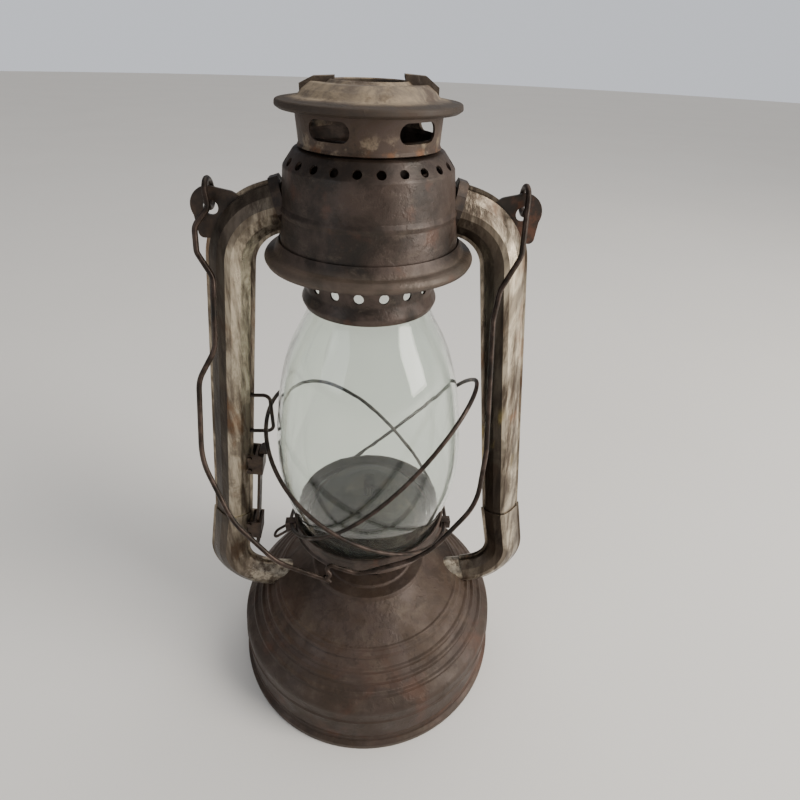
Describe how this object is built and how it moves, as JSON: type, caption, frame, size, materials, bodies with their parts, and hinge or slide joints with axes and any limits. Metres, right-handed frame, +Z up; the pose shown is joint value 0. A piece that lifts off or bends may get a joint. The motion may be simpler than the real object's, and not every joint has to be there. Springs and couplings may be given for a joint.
{
  "type": "hurricane lantern",
  "caption": "Tubular kerosene lantern: round fuel tank, two air tubes, glass globe with wire guard, vented hood and chamber, wick burner, globe lift and carrying bail.",
  "frame": {"origin": "on the lantern's upright axis, in the plane of the tank's bottom seam", "axes": "+Z up, the air tubes stand along X, -Y is the front that the bail hangs on, and the filler and wick knob are at the back"},
  "size_m": [0.1646, 0.1416, 0.2849],
  "materials": {
    "rusty_sheet": "rough",
    "weathered_tin": "worn",
    "hood_sheet": "rough",
    "globe_glass": "polished",
    "black_wire": "satin",
    "sooty_brass": "rough",
    "dark_steel": "satin",
    "cotton_wick": "woven",
    "cork_seal": "matte"
  },
  "bodies": {
    "frame": {"tank_shell": "rusty_sheet", "tank_base": "rusty_sheet", "fuel_deck": "rusty_sheet", "air_dome": "rusty_sheet", "burner_collar": "sooty_brass", "filler_neck": "rusty_sheet", "right_air_tube": "weathered_tin", "left_air_tube": "weathered_tin", "right_elbow": "weathered_tin", "left_elbow": "weathered_tin", "foot_pipes": "weathered_tin", "right_ear": "weathered_tin", "left_ear": "weathered_tin", "tube_sockets": "weathered_tin", "air_chamber": "rusty_sheet", "chamber_skirt": "rusty_sheet", "guard_staple": "black_wire", "lift_brackets": "dark_steel", "lift_rivets": "dark_steel", "burner_body": "sooty_brass", "burner_plate": "sooty_brass", "burner_cone": "sooty_brass", "wick_tube": "sooty_brass", "hood_spring": "black_wire"},
    "globe_carriage": {"globe_plate": "rusty_sheet", "globe": "globe_glass", "left_guard_ring": "black_wire", "right_guard_ring": "black_wire", "guard_clips": "black_wire", "lift_link": "black_wire"},
    "lift_lever": {"lift_strip": "dark_steel"},
    "hood": {"hood_band": "hood_sheet", "hood_crown": "hood_sheet", "hood_lugs": "hood_sheet", "chimney_tube": "rusty_sheet", "globe_cap": "rusty_sheet"},
    "wick_feed": {"wick_spindle": "dark_steel", "wick_wheels": "sooty_brass", "wick_knob": "dark_steel"},
    "wick": {"wick": "cotton_wick"},
    "bail": {"bail": "black_wire"},
    "filler_seal": {"filler_gasket": "cork_seal"},
    "filler_cap": {"filler_cap": "rusty_sheet"}
  },
  "joints": [
    {"name": "lever_slide", "type": "slide", "parent": "frame", "child": "lift_lever", "axis": [0.1293, 0, 0.9916], "range_m": [0, 0.008]},
    {"name": "globe_lift", "type": "slide", "parent": "frame", "child": "globe_carriage", "axis": [0, 0, 1], "range_m": [0, 0.008]},
    {"name": "hood_lift", "type": "slide", "parent": "globe_carriage", "child": "hood", "axis": [0, 0, 1], "range_m": [0, 0.012], "stiffness_N_per_m": 120, "springref_m": -0.01, "deforming": ["hood_spring"]},
    {"name": "wick_turn", "type": "hinge", "parent": "frame", "child": "wick_feed", "pos_m": [0.0044, 0, 0.076], "axis": [0, 1, 0], "range_deg": [0, 150]},
    {"name": "wick_raise", "type": "slide", "parent": "frame", "child": "wick", "axis": [0, 0, 1], "range_m": [0, 0.008]},
    {"name": "bail_swing", "type": "hinge", "parent": "frame", "child": "bail", "pos_m": [0, 0, 0.2482], "axis": [-1, 0, 0], "range_deg": [0, 275]},
    {"name": "cap_rise", "type": "slide", "parent": "frame", "child": "filler_seal", "axis": [0, 0, 1], "range_m": [0, 0.0071]},
    {"name": "cap_turn", "type": "hinge", "parent": "filler_seal", "child": "filler_cap", "pos_m": [-0.0299, 0.05179, 0.055], "axis": [0, 0, 1], "range_deg": [0, 1260]}
  ],
  "couplings": [
    {"joint": "globe_lift", "follows": "lever_slide", "ratio": 0.9916},
    {"joint": "wick_raise", "follows": "wick_turn", "m_per_rad": 0.003},
    {"joint": "cap_rise", "follows": "cap_turn", "m_per_rad": 0.0003183}
  ]
}
